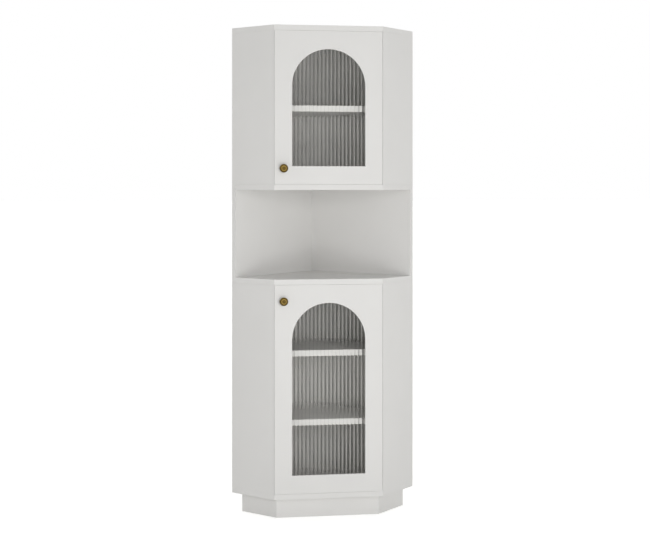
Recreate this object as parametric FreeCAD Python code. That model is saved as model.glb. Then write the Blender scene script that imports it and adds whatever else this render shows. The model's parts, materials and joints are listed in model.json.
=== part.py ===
# Tall five-sided corner cabinet for a bathroom, in painted board, in millimetres.
# It stands in a right-angled room corner: two backs lie against the walls, two short sides
# stand square to them, and the front runs across the corner. From the floor up it has a
# recessed plinth, a lower cabinet, an open niche and an upper cabinet. Each cabinet has one
# door with an arched pane of reeded glass, a round knob at the left and hidden pivot pins
# at the right. +Z is up, the front looks along -Y and the room corner is at +Y. The origin
# is on the floor, at the centre of the cabinet's overall box.

import FreeCAD
import Part
import math
import os
from FreeCAD import Vector

# Plan and board sizes
front_width = 360.5
side_depth = 181.0
board_thickness = 18.0
panel_thickness = 15.0
board_edge_round = 0.6
panel_tip_round = 0.4

# Heights, from the floor up, each between its boards
plinth_height = 63.5
lower_clear_height = 683.3
niche_height = 292.3
upper_clear_height = 503.9

# Plinth
plinth_inset = 24.0
plinth_thickness = 15.0
block_leg = 34.0
block_height = 44.0

# Shelves
shelf_thickness = 20.0
shelf_edge_clearance = 1.0
shelf_edge_round = 1.0
upper_shelf_share = 0.478
lower_shelf_shares = (0.317, 0.651)
shelf_pin_radius = 2.5
shelf_pin_depth = 8.0
shelf_pin_reach = 9.0
side_pin_share = 0.45
back_pin_share = 0.78

# Doors
door_thickness = 16.0
door_side_gap = 0.4
door_end_gap = 0.4
door_edge_round = 2.5
stile_width = 58.5
rail_width = 59.8
opening_edge_round = 1.5
glass_rebate_lip = 6.0
glass_rebate_width = 8.0

# Reeded glass
glass_thickness = 8.0
glass_edge_clearance = 1.0
glass_seat_clearance = 0.3
flute_pitch = 12.5
flute_rise = 5.4

# Glass clips
clip_width = 12.0
clip_plate_thickness = 1.5
clip_plate_length = 11.0
clip_foot_length = 6.0
clip_wall_clearance = 0.5
clip_height_shares = (0.1, 0.5, 0.9)

# Hidden pivot hinges
hinge_inset = 24.0
hinge_setback = 4.6
hinge_pin_radius = 2.5
hinge_pin_depth = 14.0
hinge_end_clearance = 0.3
hinge_bush_radius = 3.8
hinge_bush_depth = 9.0
hinge_running_clearance = 0.05
swing_clearance = 2.6

# Knobs
knob_radius = 14.0
knob_reach = 24.0
knob_end_distance = 52.3
knob_thread_depth = 10.0
knob_profile_shares = (
    (0.0, 0.0), (0.0, 0.5), (0.07, 0.5), (0.12, 0.36), (0.4, 0.3), (0.56, 0.5), (0.68, 0.9),
    (0.74, 1.0), (0.84, 1.0), (0.9, 0.93), (0.9, 0.84), (0.95, 0.78), (0.95, 0.6), (0.91, 0.54),
    (0.91, 0.46), (1.0, 0.38), (1.0, 0.0),
)

# Magnetic catches
catch_width = 22.0
catch_ear_width = 40.0
catch_ear_thickness = 2.0
catch_depth = 13.0
catch_height = 14.0
catch_edge_distance = 24.0
catch_screw_spacing = 31.0
magnet_gap = 0.3
strike_width = 30.0
strike_height = 12.0
strike_thickness = 1.2

# Wall brackets
bracket_width = 20.0
bracket_leg = 25.0
bracket_thickness = 2.0
bracket_share = 0.5
bracket_screw_share = 0.6
wall_hole_radius = 2.75

# Dowels and cam fittings
dowel_radius = 4.0
dowel_board_depth = 8.0
dowel_panel_depth = 20.0
side_dowel_shares = (0.3, 0.8)
back_dowel_shares = (0.12, 0.85)
joint_clearance = 0.05
cam_radius = 7.5
cam_depth = 12.0
cam_distance = 34.0
cam_slot_width = 1.5
cam_slot_depth = 2.0
cam_slot_length = 10.0
cam_bolt_radius = 3.0
cam_bolt_board_depth = 10.0
cam_share = 0.52

# Screws: shank radius, length under the head, head radius, head height
small_screw_shank = 1.5
small_screw_length = 9.0
small_screw_head = 3.0
small_screw_head_height = 1.6
board_screw_shank = 2.0
board_screw_length = 38.0
board_screw_head = 4.0
board_screw_head_height = 3.0
knob_screw_shank = 2.0
knob_screw_head = 4.0
knob_screw_head_height = 2.2
screw_recess_share = 0.45
corner_screw_shares = (0.08, 0.36, 0.64, 0.92)
floor_screw_shares = (0.2, 0.7)

# Levels worked out from the sizes
bottom_low = plinth_height
bottom_high = bottom_low + board_thickness
counter_low = bottom_high + lower_clear_height
counter_high = counter_low + board_thickness
floor_low = counter_high + niche_height
floor_high = floor_low + board_thickness
top_low = floor_high + upper_clear_height

# Plan geometry: the front plane, the five corners and the four straight tracks
diagonal = math.sqrt(2)
half_front = front_width / 2
side_run = side_depth / diagonal
plan_depth = half_front + 2 * side_run
wall_leg = (half_front + side_run) * diagonal
front_y = (knob_reach - plan_depth) / 2

front_left = Vector(-half_front, front_y, 0)
front_right = Vector(half_front, front_y, 0)
wall_left = Vector(-half_front - side_run, front_y + side_run, 0)
wall_right = Vector(half_front + side_run, front_y + side_run, 0)
back_corner = Vector(0, front_y + plan_depth, 0)

up = Vector(0, 0, 1)
inward = Vector(0, 1, 0)
outward = Vector(0, -1, 0)
towards_back_right = Vector(1, 1, 0).normalize()
towards_back_left = Vector(-1, 1, 0).normalize()

# A track is a straight outer face in plan: its start, its heading and the way indoors.
left_side_track = (front_left, towards_back_left, towards_back_right)
right_side_track = (front_right, towards_back_right, towards_back_left)
left_wall_track = (wall_left, towards_back_right, towards_back_left.negative())
right_wall_track = (wall_right, towards_back_left, towards_back_right.negative())

# Door sizes worked out
half_door = half_front - door_side_gap
half_opening = half_door - stile_width
hinge_x = half_door - hinge_inset
hinge_y = front_y + hinge_setback
door_back_y = front_y + door_thickness
tail_reach = hinge_setback + math.hypot(hinge_inset, door_thickness - hinge_setback)
shelf_setback = tail_reach + swing_clearance
knob_x = -half_door + stile_width / 2
catch_x = -half_door + catch_edge_distance
catch_front_y = door_back_y + strike_thickness + magnet_gap

pieces = {}
drillings = {}


def add(name, shape):
    """Keep a finished shape under its piece's name."""
    pieces[name] = shape


def add_group(name, shapes):
    """Keep several separate solids of one kind under one name."""
    pieces[name] = Part.makeCompound(shapes)


def drill(name, tool):
    """Note a tool that is cut out of a piece at the end."""
    drillings.setdefault(name, []).append(tool)


def on_track(track, along, indoors, height=0):
    """A point at a distance along a track and a distance indoors from it."""
    start, heading, way_in = track
    return start + heading * along + way_in * indoors + up * height


def prism(points, low, high):
    """An upright prism over an outline in plan."""
    corners = [Vector(point.x, point.y, low) for point in points]
    outline = Part.makePolygon(corners + corners[:1])
    return Part.Face(outline).extrude(up * (high - low))


def pentagon(front_inset, side_inset, wall_inset):
    """The cabinet's plan, moved in from its front, its sides and its walls."""
    left_front_x = -half_front - front_inset + side_inset * diagonal
    start_y = front_y + front_inset
    corner_y = back_corner.y - wall_inset * diagonal
    side_sum = front_y - half_front + side_inset * diagonal
    wall_x = (side_sum - corner_y) / 2
    wall_y = (side_sum + corner_y) / 2
    return [
        Vector(left_front_x, start_y, 0),
        Vector(-left_front_x, start_y, 0),
        Vector(-wall_x, wall_y, 0),
        Vector(0, corner_y, 0),
        Vector(wall_x, wall_y, 0),
    ]


def slab(track, start, end, thickness, low, high):
    """An upright panel whose outer face lies on a track."""
    outline = [
        on_track(track, start, 0),
        on_track(track, end, 0),
        on_track(track, end, thickness),
        on_track(track, start, thickness),
    ]
    return prism(outline, low, high)


def box(centre_x, low_y, low_z, width, depth, height):
    """A box given by the middle of its width and its low corner."""
    corner = Vector(centre_x - width / 2, low_y, low_z)
    return Part.makeBox(width, depth, height, corner)


def screw(seat, heading, sizes, sunk=False, grow=0):
    """A screw whose head rests at its seat; grow makes the tool for its hole."""
    shank, length, head, head_height = sizes
    body = Part.makeCylinder(shank + grow, length, seat, heading)
    if sunk:
        cap = Part.makeCone(head + grow, shank + grow, head_height, seat, heading)
        face = seat
    else:
        cap = Part.makeCylinder(head, head_height, seat, heading.negative())
        face = seat - heading * head_height
    if grow:
        return body.fuse(cap) if sunk else body
    recess = Part.makeCylinder(shank * 2 * screw_recess_share, head_height / 2, face, heading)
    return body.fuse(cap).removeSplitter().cut(recess)


small_screw = (small_screw_shank, small_screw_length, small_screw_head, small_screw_head_height)
board_screw = (board_screw_shank, board_screw_length, board_screw_head, board_screw_head_height)


# Boards and shelves
def make_board(outline, low, thickness, rounding):
    """A flat board with every edge eased."""
    blank = prism(outline, low, low + thickness)
    return blank.makeFillet(rounding, blank.Edges)


def make_boards():
    """The four level boards of the carcass."""
    whole = pentagon(0, 0, 0)
    add("bottom_board", make_board(whole, bottom_low, board_thickness, board_edge_round))
    add("counter_board", make_board(whole, counter_low, board_thickness, board_edge_round))
    add("top_board", make_board(whole, top_low, board_thickness, board_edge_round))
    between_backs = pentagon(0, 0, panel_thickness)
    add("upper_floor_board", make_board(between_backs, floor_low, board_thickness, board_edge_round))


def shelf_levels():
    """Each shelf's name, its underside and the cabinet that holds it."""
    low_share, high_share = lower_shelf_shares
    return (
        ("lower_low_shelf", bottom_high + lower_clear_height * low_share, "lower"),
        ("lower_high_shelf", bottom_high + lower_clear_height * high_share, "lower"),
        ("upper_shelf", floor_high + upper_clear_height * upper_shelf_share, "upper"),
    )


def make_shelves():
    """Loose shelves on four metal pins each."""
    inset = panel_thickness + shelf_edge_clearance
    outline = pentagon(shelf_setback, inset, inset)
    pins = {"upper": [], "lower": []}
    places = (
        ("left_side", left_side_track, side_depth * side_pin_share),
        ("right_side", right_side_track, side_depth * side_pin_share),
        ("left_back", left_wall_track, wall_leg * back_pin_share),
        ("right_back", right_wall_track, wall_leg * back_pin_share),
    )
    for name, level, cabinet in shelf_levels():
        add(name, make_board(outline, level, shelf_thickness, shelf_edge_round))
        axis_level = level - shelf_pin_radius
        for panel, track, along in places:
            start = on_track(track, along, panel_thickness - shelf_pin_depth, axis_level)
            length = shelf_pin_depth + shelf_pin_reach
            pins[cabinet].append(Part.makeCylinder(shelf_pin_radius, length, start, track[2]))
            hole = Part.makeCylinder(shelf_pin_radius + joint_clearance, length, start, track[2])
            drill(cabinet + "_" + panel, hole)
    add_group("upper_shelf_pins", pins["upper"])
    add_group("lower_shelf_pins", pins["lower"])


# Upright panels
def make_side_panel(track, low, high):
    """A side panel, mitred at its front so that its end lies beside the door's edge."""
    depth = side_depth - panel_thickness
    outline = [
        on_track(track, 0, 0),
        on_track(track, depth, 0),
        on_track(track, depth, panel_thickness),
        on_track(track, panel_thickness, panel_thickness),
    ]
    blank = prism(outline, low, high)
    tip = outline[0]
    tip_edges = [
        edge for edge in blank.Edges
        if edge.CenterOfMass.distanceToPoint(Vector(tip.x, tip.y, edge.CenterOfMass.z)) < panel_tip_round
    ]
    return blank.makeFillet(panel_tip_round, tip_edges)


def make_panels():
    """The sides and backs of both cabinets; the upper backs also line the niche."""
    add("lower_left_side", make_side_panel(left_side_track, bottom_high, counter_low))
    add("lower_right_side", make_side_panel(right_side_track, bottom_high, counter_low))
    add("upper_left_side", make_side_panel(left_side_track, floor_high, top_low))
    add("upper_right_side", make_side_panel(right_side_track, floor_high, top_low))
    short_leg = wall_leg - panel_thickness
    for cabinet, low, high in (("lower", bottom_high, counter_low), ("upper", counter_high, top_low)):
        left = slab(left_wall_track, 0, wall_leg, panel_thickness, low, high)
        right = slab(right_wall_track, 0, short_leg, panel_thickness, low, high)
        add(cabinet + "_left_back", left)
        add(cabinet + "_right_back", right)


# Plinth
def make_plinth():
    """Five mitred boards under the bottom board, with a block in each corner."""
    outer = pentagon(plinth_inset, plinth_inset, plinth_inset)
    inner_inset = plinth_inset + plinth_thickness
    inner = pentagon(inner_inset, inner_inset, inner_inset)
    names = ("plinth_front", "plinth_right", "plinth_back_right", "plinth_back_left", "plinth_left")
    count = len(names)
    for index, name in enumerate(names):
        following = (index + 1) % count
        outline = [outer[index], outer[following], inner[following], inner[index]]
        add(name, prism(outline, 0, plinth_height))
    blocks = []
    screws = []
    for index in range(count):
        corner = inner[index]
        ahead = (inner[(index + 1) % count] - corner).normalize() * block_leg
        behind = (inner[index - 1] - corner).normalize() * block_leg
        low = plinth_height - block_height
        block = prism([corner, corner + ahead, corner + behind], low, plinth_height)
        middle = corner + (ahead + behind) / 3
        seat = middle + up * (plinth_height - block_height)
        length = block_height + board_thickness / 2
        sizes = (board_screw_shank, length, board_screw_head, board_screw_head_height)
        screws.append(screw(seat, up, sizes, sunk=True))
        hole = screw(seat, up, sizes, sunk=True, grow=joint_clearance)
        blocks.append(block.cut(hole))
        drill("bottom_board", hole)
    add_group("plinth_blocks", blocks)
    add_group("plinth_screws", screws)


# Joints of the carcass
def panel_joints():
    """Each joint of a panel's end with a board: panel, board, track, length, level, way, cams."""
    side = side_depth - panel_thickness
    joints = []
    for hand, side_track, wall_track in (
        ("left", left_side_track, left_wall_track),
        ("right", right_side_track, right_wall_track),
    ):
        lower_side = "lower_" + hand + "_side"
        upper_side = "upper_" + hand + "_side"
        lower_back = "lower_" + hand + "_back"
        upper_back = "upper_" + hand + "_back"
        joints += [
            (lower_side, "bottom_board", side_track, side, bottom_high, 1, True),
            (lower_side, "counter_board", side_track, side, counter_low, -1, True),
            (upper_side, "upper_floor_board", side_track, side, floor_high, 1, True),
            (upper_side, "top_board", side_track, side, top_low, -1, True),
            (lower_back, "bottom_board", wall_track, wall_leg, bottom_high, 1, True),
            (lower_back, "counter_board", wall_track, wall_leg, counter_low, -1, True),
            (upper_back, "counter_board", wall_track, wall_leg, counter_high, 1, False),
            (upper_back, "top_board", wall_track, wall_leg, top_low, -1, True),
        ]
    return joints


def make_dowels():
    """Wooden dowels between the panels' ends and the boards."""
    dowels = {"upper": [], "lower": []}
    length = dowel_board_depth + dowel_panel_depth
    for panel, board, track, run, level, way, has_cam in panel_joints():
        shares = side_dowel_shares if panel.endswith("side") else back_dowel_shares
        for share in shares:
            joint = on_track(track, run * share, panel_thickness / 2, level)
            start = joint - up * (way * dowel_board_depth)
            heading = up * way
            dowels[panel.split("_")[0]].append(Part.makeCylinder(dowel_radius, length, start, heading))
            hole = Part.makeCylinder(dowel_radius + joint_clearance, length, start, heading)
            drill(panel, hole)
            drill(board, hole)
    add_group("upper_dowels", dowels["upper"])
    add_group("lower_dowels", dowels["lower"])


def make_cams():
    """Round cam locks in the panels' inner faces, each drawing a bolt out of a board."""
    locks = []
    bolts = []
    for panel, board, track, run, level, way, has_cam in panel_joints():
        if not has_cam:
            continue
        way_out = track[2].negative()
        centre = on_track(track, run * cam_share, panel_thickness, level + way * cam_distance)
        lock = Part.makeCylinder(cam_radius, cam_depth, centre, way_out)
        slot = Part.makeBox(cam_slot_length, cam_slot_width, cam_slot_depth)
        slot.translate(Vector(-cam_slot_length / 2, -cam_slot_width / 2, 0))
        slot.Placement = FreeCAD.Placement(centre, FreeCAD.Rotation(up, way_out)).multiply(slot.Placement)
        locks.append(lock.cut(slot))
        drill(panel, Part.makeCylinder(cam_radius + joint_clearance, cam_depth, centre, way_out))
        joint = on_track(track, run * cam_share, panel_thickness / 2, level)
        start = joint - up * (way * cam_bolt_board_depth)
        length = cam_bolt_board_depth + cam_distance - cam_radius - joint_clearance
        bolts.append(Part.makeCylinder(cam_bolt_radius, length, start, up * way))
        hole = Part.makeCylinder(cam_bolt_radius + joint_clearance, length, start, up * way)
        drill(panel, hole)
        drill(board, hole)
    add_group("cam_locks", locks)
    add_group("cam_bolts", bolts)


def make_board_screws():
    """Screws from the wall side: through the left backs into the right, and into the floor board."""
    corner_screws = []
    for cabinet, low, high in (("lower", bottom_high, counter_low), ("upper", counter_high, top_low)):
        for share in corner_screw_shares:
            level = low + (high - low) * share
            seat = on_track(left_wall_track, wall_leg - panel_thickness / 2, 0, level)
            heading = left_wall_track[2]
            corner_screws.append(screw(seat, heading, board_screw, sunk=True))
            hole = screw(seat, heading, board_screw, sunk=True, grow=joint_clearance)
            drill(cabinet + "_left_back", hole)
            drill(cabinet + "_right_back", hole)
    add_group("corner_screws", corner_screws)
    floor_screws = []
    level = floor_low + board_thickness / 2
    for panel, track in (("upper_left_back", left_wall_track), ("upper_right_back", right_wall_track)):
        for share in floor_screw_shares:
            seat = on_track(track, wall_leg * share, 0, level)
            floor_screws.append(screw(seat, track[2], board_screw, sunk=True))
            hole = screw(seat, track[2], board_screw, sunk=True, grow=joint_clearance)
            drill(panel, hole)
            drill("upper_floor_board", hole)
    add_group("floor_board_screws", floor_screws)


def make_wall_brackets():
    """Angle brackets under the top board, with a hole through each back for a wall screw."""
    brackets = []
    screws = []
    for panel, track in (("upper_left_back", left_wall_track), ("upper_right_back", right_wall_track)):
        along = wall_leg * bracket_share
        start = along - bracket_width / 2
        end = along + bracket_width / 2
        way_in = track[2]
        level_leg = prism([
            on_track(track, start, panel_thickness),
            on_track(track, end, panel_thickness),
            on_track(track, end, panel_thickness + bracket_leg),
            on_track(track, start, panel_thickness + bracket_leg),
        ], top_low - bracket_thickness, top_low)
        upright_leg = prism([
            on_track(track, start, panel_thickness),
            on_track(track, end, panel_thickness),
            on_track(track, end, panel_thickness + bracket_thickness),
            on_track(track, start, panel_thickness + bracket_thickness),
        ], top_low - bracket_leg, top_low)
        hole_level = top_low - bracket_leg / 2 - bracket_thickness
        hole_start = on_track(track, along, 0, hole_level)
        wall_hole = Part.makeCylinder(
            wall_hole_radius, panel_thickness + bracket_thickness, hole_start, way_in)
        drill(panel, wall_hole)
        screw_inset = panel_thickness + bracket_leg * bracket_screw_share
        seat = on_track(track, along, screw_inset, top_low - bracket_thickness)
        screws.append(screw(seat, up, small_screw))
        screw_hole = screw(seat, up, small_screw, grow=joint_clearance)
        drill("top_board", screw_hole)
        bracket = level_leg.fuse(upright_leg).removeSplitter()
        brackets.append(bracket.cut([wall_hole, screw_hole]))
    add_group("wall_brackets", brackets)
    add_group("wall_bracket_screws", screws)


# Doors
def arch_plate(half_width, low, centre_level, start_y, depth):
    """A plate with straight sides and a half-round top, in the plane of the front."""
    left_low = Vector(-half_width, start_y, low)
    right_low = Vector(half_width, start_y, low)
    right_high = Vector(half_width, start_y, centre_level)
    crown = Vector(0, start_y, centre_level + half_width)
    left_high = Vector(-half_width, start_y, centre_level)
    edges = [
        Part.makeLine(left_low, right_low),
        Part.makeLine(right_low, right_high),
        Part.Arc(right_high, crown, left_high).toShape(),
        Part.makeLine(left_high, left_low),
    ]
    return Part.Face(Part.Wire(edges)).extrude(inward * depth)


def make_door_panel(low, high, opening_low, arch_level):
    """A flat door with eased edges, an arched opening and a rebate behind it for the glass."""
    blank = box(0, front_y, low, 2 * half_door, door_thickness, high - low)
    upright_edges = [edge for edge in blank.Edges if edge.BoundBox.ZLength > door_thickness]
    blank = blank.makeFillet(door_edge_round, upright_edges)
    opening = arch_plate(half_opening, opening_low, arch_level, front_y, door_thickness)
    holed = blank.cut(opening)
    rim_edges = []
    for edge in holed.Edges:
        bounds = edge.BoundBox
        on_front = abs(bounds.YMax - front_y) < opening_edge_round / 2
        widest = max(bounds.XMax, -bounds.XMin)
        if on_front and widest < half_opening + opening_edge_round:
            rim_edges.append(edge)
    eased = holed.makeFillet(opening_edge_round, rim_edges)
    rebate_half = half_opening + glass_rebate_width
    rebate_low = opening_low - glass_rebate_width
    rebate_y = front_y + glass_rebate_lip
    rebate = arch_plate(rebate_half, rebate_low, arch_level, rebate_y, door_thickness)
    return eased.cut(rebate)


def make_glass(opening_low, arch_level):
    """A pane with a flat back and round upright flutes on its front."""
    half_width = half_opening + glass_rebate_width - glass_edge_clearance
    low = opening_low - glass_rebate_width + glass_edge_clearance
    crest_y = front_y + glass_rebate_lip + glass_seat_clearance
    root_y = crest_y + flute_rise
    back_y = crest_y + glass_thickness
    outline = arch_plate(half_width, low, arch_level, crest_y, glass_thickness)
    flutes_each_side = math.ceil(half_width / flute_pitch)
    reach = flutes_each_side * flute_pitch
    edges = []
    for index in range(-flutes_each_side, flutes_each_side):
        start = Vector(index * flute_pitch, root_y, low)
        crest = Vector((index + 0.5) * flute_pitch, crest_y, low)
        end = Vector((index + 1) * flute_pitch, root_y, low)
        edges.append(Part.Arc(start, crest, end).toShape())
    back_right = Vector(reach, back_y, low)
    back_left = Vector(-reach, back_y, low)
    edges.append(Part.makeLine(Vector(reach, root_y, low), back_right))
    edges.append(Part.makeLine(back_right, back_left))
    edges.append(Part.makeLine(back_left, Vector(-reach, root_y, low)))
    sheet = Part.Face(Part.Wire(edges)).extrude(up * (arch_level + half_width - low))
    return sheet.common(outline)


def make_glass_clips(name, opening_low, arch_level):
    """Stepped metal clips that hold the pane in its rebate, each with one screw."""
    glass_back_y = front_y + glass_rebate_lip + glass_seat_clearance + glass_thickness
    places = [(Vector(0, 0, opening_low), 180), (Vector(0, 0, arch_level + half_opening), 0)]
    for share in clip_height_shares:
        level = opening_low + (arch_level - opening_low) * share
        places.append((Vector(half_opening, 0, level), 90))
        places.append((Vector(-half_opening, 0, level), -90))
    foot_high = glass_rebate_width - clip_wall_clearance
    clips = []
    screws = []
    for edge_point, turn in places:
        foot = box(0, glass_back_y, foot_high - clip_foot_length,
                   clip_width, door_back_y + clip_plate_thickness - glass_back_y, clip_foot_length)
        plate = box(0, door_back_y, foot_high - clip_foot_length,
                    clip_width, clip_plate_thickness, clip_foot_length + clip_plate_length)
        seat = Vector(0, door_back_y + clip_plate_thickness, foot_high + clip_plate_length / 2)
        clip = foot.fuse(plate).removeSplitter()
        fixing = screw(seat, outward, small_screw)
        hole = screw(seat, outward, small_screw, grow=joint_clearance)
        clip = clip.cut(hole)
        placing = FreeCAD.Placement(edge_point, FreeCAD.Rotation(inward, turn))
        for shape in (clip, fixing, hole):
            shape.Placement = placing
        clips.append(clip)
        screws.append(fixing)
        drill(name + "_door_panel", hole)
    add_group(name + "_glass_clips", clips)
    add_group(name + "_clip_screws", screws)


def make_knob(name, level):
    """A turned knob on a neck, with a stepped face, and its screw from behind the door."""
    points = []
    for reach_share, radius_share in knob_profile_shares:
        reach = front_y - knob_reach * reach_share
        points.append(Vector(knob_x + knob_radius * radius_share, reach, level))
    outline = Part.makePolygon(points + points[:1])
    knob = Part.Face(outline).revolve(Vector(knob_x, front_y, level), outward, 360)
    seat = Vector(knob_x, door_back_y, level)
    length = door_thickness + knob_thread_depth
    sizes = (knob_screw_shank, length, knob_screw_head, knob_screw_head_height)
    hole = screw(seat, outward, sizes, grow=joint_clearance)
    add(name + "_knob", knob.cut(hole))
    add(name + "_knob_screw", screw(seat, outward, sizes))
    drill(name + "_door_panel", hole)


def make_hinge(name, low, high, board_below, board_above):
    """Pivot pins in the door's ends, which turn in bushes let into the boards."""
    pins = []
    bushes = []
    for door_end, way, board in ((low, -1, board_below), (high, 1, board_above)):
        heading = up * way
        pin_start = Vector(hinge_x, hinge_y, door_end - way * hinge_pin_depth)
        pin_length = hinge_pin_depth + door_end_gap + hinge_bush_depth - hinge_end_clearance
        pins.append(Part.makeCylinder(hinge_pin_radius, pin_length, pin_start, heading))
        socket = Part.makeCylinder(hinge_pin_radius, hinge_pin_depth, pin_start, heading)
        drill(name + "_door_panel", socket)
        board_face = Vector(hinge_x, hinge_y, door_end + way * door_end_gap)
        sleeve = Part.makeCylinder(hinge_bush_radius, hinge_bush_depth, board_face, heading)
        bore = Part.makeCylinder(
            hinge_pin_radius + hinge_running_clearance, hinge_bush_depth, board_face, heading)
        bushes.append(sleeve.cut(bore))
        drill(board, sleeve)
    add_group(name + "_hinge_pins", pins)
    add_group(name + "_hinge_bushes", bushes)


def make_catch(name, board, board_low, screws):
    """A magnetic catch under a board and the steel strike plate that meets it."""
    body = box(catch_x, catch_front_y, board_low - catch_height, catch_width, catch_depth, catch_height)
    ears = box(catch_x, catch_front_y, board_low - catch_ear_thickness,
               catch_ear_width, catch_depth, catch_ear_thickness)
    catch = body.fuse(ears).removeSplitter()
    for side in (-1, 1):
        seat = Vector(catch_x + side * catch_screw_spacing / 2, catch_front_y + catch_depth / 2,
                      board_low - catch_ear_thickness)
        hole = screw(seat, up, small_screw, grow=joint_clearance)
        catch = catch.cut(hole)
        drill(board, hole)
        screws.append(screw(seat, up, small_screw))
    add(name + "_magnet_catch", catch)
    strike_level = board_low - catch_height / 2
    strike = box(catch_x, door_back_y, strike_level - strike_height / 2,
                 strike_width, strike_thickness, strike_height)
    plate_screw = (small_screw_shank, small_screw_length, small_screw_head, strike_thickness)
    seat = Vector(catch_x, door_back_y + strike_thickness, strike_level)
    hole = screw(seat, outward, plate_screw, sunk=True, grow=joint_clearance)
    add(name + "_strike_plate", strike.cut(hole))
    add(name + "_strike_screw", screw(seat, outward, plate_screw, sunk=True))
    drill(name + "_door_panel", hole)


def make_doors():
    """Both doors with their glass, clips, knobs, hinges and catches."""
    catch_screws = []
    doors = (
        ("lower", bottom_high, counter_low, "bottom_board", "counter_board"),
        ("upper", floor_high, top_low, "upper_floor_board", "top_board"),
    )
    for name, frame_low, frame_high, board_below, board_above in doors:
        low = frame_low + door_end_gap
        high = frame_high - door_end_gap
        opening_low = low + rail_width
        arch_level = high - rail_width - half_opening
        add(name + "_door_panel", make_door_panel(low, high, opening_low, arch_level))
        add(name + "_glass", make_glass(opening_low, arch_level))
        make_glass_clips(name, opening_low, arch_level)
        knob_level = high - knob_end_distance if name == "lower" else low + knob_end_distance
        make_knob(name, knob_level)
        make_hinge(name, low, high, board_below, board_above)
        make_catch(name, board_above, frame_high, catch_screws)
    add_group("catch_screws", catch_screws)


def export_pieces():
    """Cut the drilled holes and write one file per piece."""
    os.makedirs("parts", exist_ok=True)
    for name, shape in pieces.items():
        if name in drillings:
            shape = shape.cut(drillings[name])
        if len(shape.Solids) == 1:
            shape = shape.Solids[0]
        shape.exportStep("parts/" + name + ".step")
        print(name, "solids", len(shape.Solids), "valid", shape.isValid(), "volume", round(shape.Volume))


make_boards()
make_shelves()
make_panels()
make_plinth()
make_dowels()
make_cams()
make_board_screws()
make_wall_brackets()
make_doors()
export_pieces()
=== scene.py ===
import json
import math

import bmesh
import bpy
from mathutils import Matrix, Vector


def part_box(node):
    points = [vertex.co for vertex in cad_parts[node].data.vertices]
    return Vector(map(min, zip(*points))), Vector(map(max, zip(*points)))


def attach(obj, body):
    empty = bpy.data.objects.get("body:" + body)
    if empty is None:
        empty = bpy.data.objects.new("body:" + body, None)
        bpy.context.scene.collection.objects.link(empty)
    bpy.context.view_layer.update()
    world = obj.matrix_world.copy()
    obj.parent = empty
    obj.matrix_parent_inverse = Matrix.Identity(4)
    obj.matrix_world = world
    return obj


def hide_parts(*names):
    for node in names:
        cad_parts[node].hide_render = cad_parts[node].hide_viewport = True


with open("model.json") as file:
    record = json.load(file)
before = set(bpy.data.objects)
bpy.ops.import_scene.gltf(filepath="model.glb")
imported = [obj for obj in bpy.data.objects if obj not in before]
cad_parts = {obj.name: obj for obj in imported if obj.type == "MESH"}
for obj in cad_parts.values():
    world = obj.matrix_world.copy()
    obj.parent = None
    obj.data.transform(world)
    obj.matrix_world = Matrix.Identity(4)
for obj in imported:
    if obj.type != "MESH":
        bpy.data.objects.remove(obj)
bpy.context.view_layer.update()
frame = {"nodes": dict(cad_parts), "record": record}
nodes = frame["nodes"]
record = frame["record"]

MM = 0.001

# Camera, worked out from the photograph: level, a little left of the front, verticals upright
PHOTO_WIDTH = 650
PHOTO_HEIGHT = 551
CAMERA_PLACE = (-0.6271, -4.3651, 1.0934)
CAMERA_TURN = math.radians(8.4)
FOCAL_PIXELS = 1282.5
HORIZON_PIXEL = 184.4
SENSOR_WIDTH_MM = 36.0

# Light: the room's level, and its soft round patches as direction, inner and outer angle and extra
# level. The first darkens the room behind the camera, the next two brighten its sides, the fourth
# lights the cabinet's back and top, and the last comes down from the front as a high window would.
ROOM_LEVEL = 0.18
ROOM_PATCHES = (
    ((0.0, -1.0, 0.0), 60, 80, -0.18),
    ((-1.0, -0.3, 0.1), 15, 40, 0.8),
    ((1.0, -0.3, 0.1), 15, 40, 0.8),
    ((0.0, 0.6, 0.8), 25, 75, 0.75),
    ((0.05, -0.87, 0.5), 10, 25, 1.0),
)

# Soft lamps in front, as place, width, height and watts: the key behind the camera and a low fill
LAMPS = (
    ((0.3, -4.9, 1.4), 1.1, 1.4, 63.0),
    ((0.2, -2.6, 0.35), 1.1, 0.5, 11.0),
)

# Floor: how much light it gives to the camera alone, and how far it reaches to each side
FLOOR_FILL = 0.5
FLOOR_REACH = 80.0

# Reeded panes: the flutes' width and depth, how many steps draw one, and how close two points merge.
# Faces turned further from the front than the limit are a pane's edges, and the sharp line between
# two flutes is found within a share of one step.
FLUTE_PITCH = 12.5 * MM
FLUTE_RISE = 5.4 * MM
FLUTE_STEPS = 20
PANE_SIDE_STEPS = 2
PANE_MERGE_GAP = 0.002 * MM
PANE_EDGE_LIMIT = 0.3
ROOT_SHARE = 0.25

# Knobs: the outline as shares of the reach and the radius, with how pale each place is painted: partly
# wear and patina, partly a painted highlight on the raised rings and painted shade in the hollows
KNOB_SPIN_STEPS = 72
KNOB_MERGE_GAP = 0.01 * MM
KNOB_PROFILE = (
    (0.0, 0.46, 0.1), (0.06, 0.50, 0.4), (0.09, 0.46, 0.2), (0.12, 0.36, 0.1), (0.3, 0.31, 0.2),
    (0.44, 0.33, 0.2), (0.54, 0.48, 0.2), (0.62, 0.74, 0.2), (0.68, 0.92, 0.3), (0.74, 1.0, 0.4),
    (0.80, 1.0, 0.4), (0.86, 0.97, 0.4), (0.90, 0.90, 0.35), (0.90, 0.85, 0.1), (0.885, 0.80, 0.0),
    (0.885, 0.74, 0.0), (0.93, 0.68, 0.5), (0.965, 0.62, 1.0), (0.975, 0.52, 1.0), (0.965, 0.42, 0.9),
    (0.93, 0.36, 0.3), (0.92, 0.30, 0.1), (0.94, 0.24, 0.2), (0.985, 0.14, 0.5), (1.0, 0.0, 0.6),
)

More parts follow.
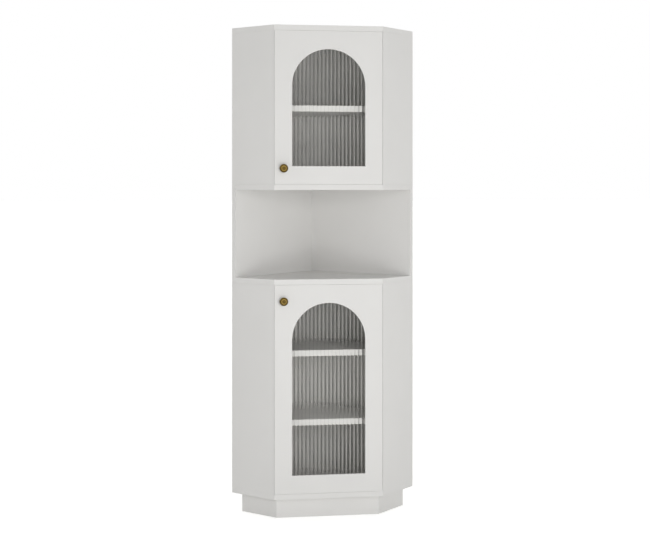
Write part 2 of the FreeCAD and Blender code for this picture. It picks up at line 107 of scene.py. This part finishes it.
# Finishes: how wide the parts of each pattern are, how deep its bumps are and how much the wood's
# pattern is drawn out along the grain. Noise mostly keeps between its low and its high level.
NOISE_LOW = 0.3
NOISE_HIGH = 0.7
LACQUER_CLOUD = 160 * MM
LACQUER_SHEEN = 45 * MM
LACQUER_PEEL = 1.6 * MM
GLASS_HAZE = 30 * MM
BRASS_STAIN = 5 * MM
BRASS_GRAIN = 0.5 * MM
ZINC_SPANGLE = 2.5 * MM
NYLON_CLOUD = 20 * MM
NYLON_TEXTURE = 0.4 * MM
BEECH_FLECK = 1.2 * MM
BEECH_STRETCH = (1.0, 1.0, 0.12)
FINE_DEPTH = 0.02 * MM
FLECK_DEPTH = 0.05 * MM


def linear(code):
    """An sRGB hex colour as linear red, green, blue and alpha."""
    channels = [int(code[start:start + 2], 16) / 255 for start in (1, 3, 5)]
    return [c / 12.92 if c <= 0.04045 else ((c + 0.055) / 1.055) ** 2.4 for c in channels] + [1.0]


def add_node(tree, kind, inputs=None, **settings):
    """Add a node, set what it is told and link or fill its inputs."""
    made = tree.nodes.new(kind)
    for name, value in settings.items():
        setattr(made, name, value)
    for name, value in (inputs or {}).items():
        if isinstance(value, bpy.types.NodeSocket):
            tree.links.new(value, made.inputs[name])
        else:
            made.inputs[name].default_value = value
    return made


def new_material(name):
    """An empty node material, its tree and its Object coordinates."""
    material = bpy.data.materials.new(name)
    material.use_nodes = True
    tree = material.node_tree
    tree.nodes.clear()
    place = add_node(tree, "ShaderNodeTexCoord").outputs["Object"]
    return material, tree, place


def finish_material(tree, shader):
    """Show a shader on the material's surface."""
    add_node(tree, "ShaderNodeOutputMaterial", {"Surface": shader.outputs[0]})


def mottle(tree, place, size, low, high, detail=2.0):
    """A number that drifts from low to high and back over patches about as wide as the size."""
    cloud = add_node(tree, "ShaderNodeTexNoise", {"Vector": place, "Scale": 1 / size, "Detail": detail})
    return add_node(tree, "ShaderNodeMapRange", {
        "Value": cloud.outputs["Fac"],
        "From Min": NOISE_LOW,
        "From Max": NOISE_HIGH,
        "To Min": low,
        "To Max": high,
    }).outputs["Result"]


def satin_lacquer():
    """Sprayed satin lacquer on fibreboard: a soft even sheen with a faint orange peel."""
    material, tree, place = new_material("satin_lacquer_on_fibreboard")
    white = add_node(tree, "ShaderNodeMix", {
        0: mottle(tree, place, LACQUER_CLOUD, 0, 1), 6: linear("#e1e0de"), 7: linear("#dfdedc"),
    }, data_type="RGBA")
    peel = add_node(tree, "ShaderNodeTexNoise", {"Vector": place, "Scale": 1 / LACQUER_PEEL, "Detail": 3.0})
    bump = add_node(tree, "ShaderNodeBump", {
        "Height": peel.outputs["Fac"], "Strength": 0.22, "Distance": FINE_DEPTH})
    shader = add_node(tree, "ShaderNodeBsdfPrincipled", {
        "Base Color": white.outputs[2],
        "Roughness": mottle(tree, place, LACQUER_SHEEN, 0.40, 0.52),
        "IOR": 1.48,
        "Normal": bump.outputs["Normal"],
    })
    finish_material(tree, shader)
    return material


def reeded_glass():
    """Clear rolled glass, with the faint uneven haze that the rolls leave on it."""
    material, tree, place = new_material("reeded_rolled_glass")
    shader = add_node(tree, "ShaderNodeBsdfPrincipled", {
        "Base Color": linear("#fffffd"),
        "Roughness": mottle(tree, place, GLASS_HAZE, 0.01, 0.03),
        "IOR": 1.5,
        "Transmission Weight": 1.0,
        "Specular Tint": linear("#404040"),
    })
    finish_material(tree, shader)
    return material


def aged_brass():
    """Turned brass, aged and waxed: brown in the turned hollows, as patina and painted shade, and pale on the
    raised rings, as wear and a painted highlight.
    """
    material, tree, place = new_material("turned_brass_with_patina_and_painted_light")
    # How pale each point is painted: wear and patina, with a painted highlight on the raised rings and
    # painted shade in the hollows
    wear_and_painted_light = add_node(tree, "ShaderNodeAttribute", attribute_name="wear_and_painted_light")
    stain_and_painted_light = add_node(tree, "ShaderNodeMath", {
        0: wear_and_painted_light.outputs["Fac"], 1: mottle(tree, place, BRASS_STAIN, -0.08, 0.08, detail=4.0),
    }, operation="ADD")
    brass = add_node(tree, "ShaderNodeMix", {
        0: stain_and_painted_light.outputs[0], 6: linear("#4a3916"), 7: linear("#a68c4e"),
    }, data_type="RGBA", clamp_factor=True)
    grain = add_node(tree, "ShaderNodeTexNoise", {"Vector": place, "Scale": 1 / BRASS_GRAIN, "Detail": 2.0})
    bump = add_node(tree, "ShaderNodeBump", {
        "Height": grain.outputs["Fac"], "Strength": 0.15, "Distance": FINE_DEPTH})
    shader = add_node(tree, "ShaderNodeBsdfPrincipled", {
        "Base Color": brass.outputs[2],
        "Metallic": 1.0,
        "Roughness": mottle(tree, place, BRASS_STAIN, 0.38, 0.26, detail=4.0),
        "Normal": bump.outputs["Normal"],
    })
    finish_material(tree, shader)
    return material


def zinc_plate():
    """Bright zinc plate on steel, with a faint cloudy spangle."""
    material, tree, place = new_material("bright_zinc_plate")
    zinc = add_node(tree, "ShaderNodeMix", {
        0: mottle(tree, place, ZINC_SPANGLE, 0, 1, detail=3.0), 6: linear("#a9adb0"), 7: linear("#c3c6c8"),
    }, data_type="RGBA")
    shader = add_node(tree, "ShaderNodeBsdfPrincipled", {
        "Base Color": zinc.outputs[2],
        "Metallic": 1.0,
        "Roughness": mottle(tree, place, ZINC_SPANGLE, 0.28, 0.42, detail=3.0),
    })
    finish_material(tree, shader)
    return material


def moulded_nylon():
    """Moulded white nylon: matt, with a fine spark-eroded texture."""
    material, tree, place = new_material("moulded_white_nylon")
    cloud = add_node(tree, "ShaderNodeTexNoise", {"Vector": place, "Scale": 1 / NYLON_CLOUD, "Detail": 2.0})
    white = add_node(tree, "ShaderNodeMix", {
        0: cloud.outputs["Fac"], 6: linear("#e2e2df"), 7: linear("#dadad6"),
    }, data_type="RGBA")
    texture = add_node(tree, "ShaderNodeTexNoise", {
        "Vector": place, "Scale": 1 / NYLON_TEXTURE, "Detail": 2.0})
    bump = add_node(tree, "ShaderNodeBump", {
        "Height": texture.outputs["Fac"], "Strength": 0.2, "Distance": FINE_DEPTH})
    shader = add_node(tree, "ShaderNodeBsdfPrincipled", {
        "Base Color": white.outputs[2],
        "Roughness": 0.55,
        "Normal": bump.outputs["Normal"],
    })
    finish_material(tree, shader)
    return material


def beech():
    """Plain beech: pale, straight grained, with short darker flecks along the grain."""
    material, tree, place = new_material("plain_beech")
    stretched = add_node(tree, "ShaderNodeMapping", {
        "Vector": place, "Scale": BEECH_STRETCH}).outputs["Vector"]
    wood = add_node(tree, "ShaderNodeMix", {
        0: mottle(tree, stretched, BEECH_FLECK, 0, 1, detail=4.0), 6: linear("#c39a6b"), 7: linear("#dcbc92"),
    }, data_type="RGBA")
    fleck = add_node(tree, "ShaderNodeTexNoise", {
        "Vector": stretched, "Scale": 1 / BEECH_FLECK, "Detail": 4.0})
    bump = add_node(tree, "ShaderNodeBump", {
        "Height": fleck.outputs["Fac"], "Strength": 0.2, "Distance": FLECK_DEPTH})
    shader = add_node(tree, "ShaderNodeBsdfPrincipled", {
        "Base Color": wood.outputs[2],
        "Roughness": 0.6,
        "Normal": bump.outputs["Normal"],
    })
    finish_material(tree, shader)
    return material


def dress(piece, material):
    """Give a piece one material all over."""
    piece.data.materials.clear()
    piece.data.materials.append(material)


def mesh_piece(name, form, material, body, slot, *replaced):
    """Turn a finished bmesh into a piece that rides on a body and replaces CAD nodes."""
    mesh = bpy.data.meshes.new(name)
    form.to_mesh(mesh)
    form.free()
    piece = bpy.data.objects.new(name, mesh)
    bpy.context.scene.collection.objects.link(piece)
    dress(piece, material)
    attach(piece, body)
    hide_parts(*replaced)
    return piece


# Panes
def make_pane(name, material):
    """A pane with round upright flutes on its front and a flat back, cut to its arch."""
    low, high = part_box(name + "_glass")
    half_width = (high.x - low.x) / 2
    arch_level = high.z - half_width
    crest_y = low.y
    back_y = high.y
    columns = 2 * FLUTE_STEPS * math.ceil(half_width / FLUTE_PITCH)
    form = bmesh.new()
    bmesh.ops.create_grid(form, x_segments=columns, y_segments=PANE_SIDE_STEPS, size=1.0)
    # The grid is a whole number of flutes wide, and its columns past the pane's sides fold onto them
    grid_half_width = columns / 2 / FLUTE_STEPS * FLUTE_PITCH
    arc_radius = (FLUTE_PITCH ** 2 / 4 + FLUTE_RISE ** 2) / (2 * FLUTE_RISE)
    for vert in form.verts:
        across = vert.co.x * grid_half_width
        share_up = (vert.co.y + 1) / 2
        x = max(-half_width, min(half_width, across))
        top = arch_level + math.sqrt(max(half_width ** 2 - x ** 2, 0))
        from_crest = (across / FLUTE_PITCH) % 1 - 0.5
        dip = arc_radius - math.sqrt(arc_radius ** 2 - (from_crest * FLUTE_PITCH) ** 2)
        vert.co = (x, crest_y + dip, low.z + share_up * (top - low.z))
    bmesh.ops.remove_doubles(form, verts=form.verts, dist=PANE_MERGE_GAP)
    grown = bmesh.ops.extrude_face_region(form, geom=list(form.faces))
    for part in grown["geom"]:
        if isinstance(part, bmesh.types.BMVert):
            part.co.y = back_y
    form.normal_update()
    for face in form.faces:
        face.smooth = abs(face.normal.y) > PANE_EDGE_LIMIT
    for edge in form.edges:
        first, second = edge.verts
        pitches_across = (first.co.x + second.co.x) / 2 / FLUTE_PITCH
        on_root = abs(pitches_across - round(pitches_across)) < ROOT_SHARE / FLUTE_STEPS
        both_smooth = all(face.smooth for face in edge.link_faces)
        edge.smooth = both_smooth and not on_root
    bmesh.ops.recalc_face_normals(form, faces=form.faces)
    pane = mesh_piece(name + "_pane", form, material, name + "_door", "reeded_glass", name + "_glass")
    pane.visible_shadow = False
    pane.visible_diffuse = False


# Knobs
def make_knob(name, material):
    """A turned knob: a foot, a waisted neck and a round head with stepped rings on its face."""
    low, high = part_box(name + "_knob")
    centre = (low + high) / 2
    radius = (high.x - low.x) / 2
    reach = high.y - low.y
    form = bmesh.new()
    # Each point keeps how pale the brass is painted there: wear and a painted highlight on the raised rings,
    # patina and painted shade in the hollows
    wear_and_painted_light = form.verts.layers.float.new("wear_and_painted_light")
    previous = None
    outline = []
    for reach_share, radius_share, wear_and_light_share in KNOB_PROFILE:
        vert = form.verts.new((centre.x + radius * radius_share, high.y - reach * reach_share, centre.z))
        vert[wear_and_painted_light] = wear_and_light_share
        if previous:
            outline.append(form.edges.new((previous, vert)))
        previous = vert
    bmesh.ops.spin(
        form, geom=list(form.verts) + outline, cent=(centre.x, high.y, centre.z), axis=(0, 1, 0),
        angle=math.tau, steps=KNOB_SPIN_STEPS, use_merge=True)
    bmesh.ops.remove_doubles(form, verts=form.verts, dist=KNOB_MERGE_GAP)
    foot = [edge for edge in form.edges if edge.is_boundary]
    bmesh.ops.holes_fill(form, edges=foot, sides=0)
    bmesh.ops.recalc_face_normals(form, faces=form.faces)
    for face in form.faces:
        face.smooth = True
    mesh_piece(name + "_round_knob", form, material, name + "_door", "aged_brass", name + "_knob")


# Camera
def make_camera():
    """The photograph's view, shifted down so that the level camera frames the whole cabinet."""
    data = bpy.data.cameras.new("front_view")
    data.sensor_fit = "HORIZONTAL"
    data.sensor_width = SENSOR_WIDTH_MM
    data.lens = FOCAL_PIXELS / PHOTO_WIDTH * SENSOR_WIDTH_MM
    data.shift_y = -(PHOTO_HEIGHT / 2 - HORIZON_PIXEL) / PHOTO_WIDTH
    data.clip_end = 2 * FLOOR_REACH
    camera = bpy.data.objects.new("front_view", data)
    camera.location = CAMERA_PLACE
    camera.rotation_euler = (math.pi / 2, 0, -CAMERA_TURN)
    bpy.context.scene.collection.objects.link(camera)
    bpy.context.scene.camera = camera


# Studio
def make_floor():
    """A plain pale floor that keeps the object's shadow and runs to white for the camera."""
    form = bmesh.new()
    bmesh.ops.create_grid(form, x_segments=1, y_segments=1, size=FLOOR_REACH)
    mesh = bpy.data.meshes.new("studio_floor")
    form.to_mesh(mesh)
    form.free()
    floor = bpy.data.objects.new("studio_floor", mesh)
    bpy.context.scene.collection.objects.link(floor)
    material, tree, place = new_material("pale_studio_floor")
    rays = add_node(tree, "ShaderNodeLightPath")
    matt = add_node(tree, "ShaderNodeBsdfDiffuse", {"Color": linear("#f2f2f0")})
    seen = add_node(tree, "ShaderNodeMath", {
        0: rays.outputs["Is Camera Ray"], 1: FLOOR_FILL}, operation="MULTIPLY")
    fill = add_node(tree, "ShaderNodeEmission", {
        "Color": linear("#ffffff"), "Strength": seen.outputs[0]})
    both = add_node(tree, "ShaderNodeAddShader", {0: matt.outputs[0], 1: fill.outputs[0]})
    finish_material(tree, both)
    dress(floor, material)


def make_lamps():
    """Wide soft lamps that face the cabinet's front and stay out of sight and out of reflections."""
    for place, width, height, watts in LAMPS:
        data = bpy.data.lights.new("soft_lamp", "AREA")
        data.shape = "RECTANGLE"
        data.size = width
        data.size_y = height
        data.energy = watts
        lamp = bpy.data.objects.new("soft_lamp", data)
        lamp.location = place
        lamp.rotation_euler = (math.pi / 2, 0, 0)
        lamp.visible_camera = False
        lamp.visible_glossy = False
        lamp.visible_transmission = False
        bpy.context.scene.collection.objects.link(lamp)


def soft_patch(tree, way, middle, inner, outer):
    """How much a direction lies within a soft round patch of the room."""
    aim = Vector(middle).normalized()
    closeness = add_node(tree, "ShaderNodeVectorMath", {0: way, 1: aim}, operation="DOT_PRODUCT")
    return add_node(tree, "ShaderNodeMapRange", {
        "Value": closeness.outputs["Value"], "From Min": math.cos(outer), "From Max": math.cos(inner),
    }, interpolation_type="SMOOTHSTEP").outputs["Result"]


def make_world():
    """A pale room with soft patches, which is plain white where it is seen itself.

    It is seen by the camera, in a mirror or through a pane, as long as the ray has met no matt surface.
    What a matt surface scatters is lit by the room's own levels.
    """
    world = bpy.data.worlds.new("studio_room")
    bpy.context.scene.world = world
    world.use_nodes = True
    tree = world.node_tree
    tree.nodes.clear()
    way = add_node(tree, "ShaderNodeTexCoord").outputs["Generated"]
    level = ROOM_LEVEL
    for middle, inner, outer, extra in ROOM_PATCHES:
        patch = soft_patch(tree, way, middle, math.radians(inner), math.radians(outer))
        level = add_node(tree, "ShaderNodeMath", {
            0: patch, 1: extra, 2: level}, operation="MULTIPLY_ADD").outputs[0]
    rays = add_node(tree, "ShaderNodeLightPath").outputs
    mirror = add_node(tree, "ShaderNodeMath", {
        0: rays["Is Camera Ray"], 1: rays["Is Glossy Ray"]}, operation="MAXIMUM")
    clear = add_node(tree, "ShaderNodeMath", {
        0: mirror.outputs[0], 1: rays["Is Transmission Ray"]}, operation="MAXIMUM")
    # A depth under a half means that the ray has met no matt surface
    unscattered = add_node(tree, "ShaderNodeMath", {
        0: rays["Diffuse Depth"], 1: 0.5}, operation="LESS_THAN")
    seen = add_node(tree, "ShaderNodeMath", {
        0: clear.outputs[0], 1: unscattered.outputs[0]}, operation="MULTIPLY")
    strength = add_node(tree, "ShaderNodeMapRange", {
        "Value": seen.outputs[0], "To Min": level, "To Max": 1.0})
    light = add_node(tree, "ShaderNodeBackground", {
        "Color": linear("#ffffff"), "Strength": strength.outputs["Result"]})
    add_node(tree, "ShaderNodeOutputWorld", {"Surface": light.outputs[0]})


make_camera()
bpy.context.scene.view_settings.view_transform = "Standard"
make_world()
make_lamps()
make_floor()

finishes = {
    "painted_board": satin_lacquer(),
    "reeded_glass": reeded_glass(),
    "aged_brass": aged_brass(),
    "zinc_steel": zinc_plate(),
    "white_plastic": moulded_nylon(),
    "raw_wood": beech(),
}
for part in record["subparts"]:
    dress(nodes[part["node"]], finishes[part["material_slot"]])

for cabinet in ("upper", "lower"):
    make_pane(cabinet, finishes["reeded_glass"])
    make_knob(cabinet, finishes["aged_brass"])
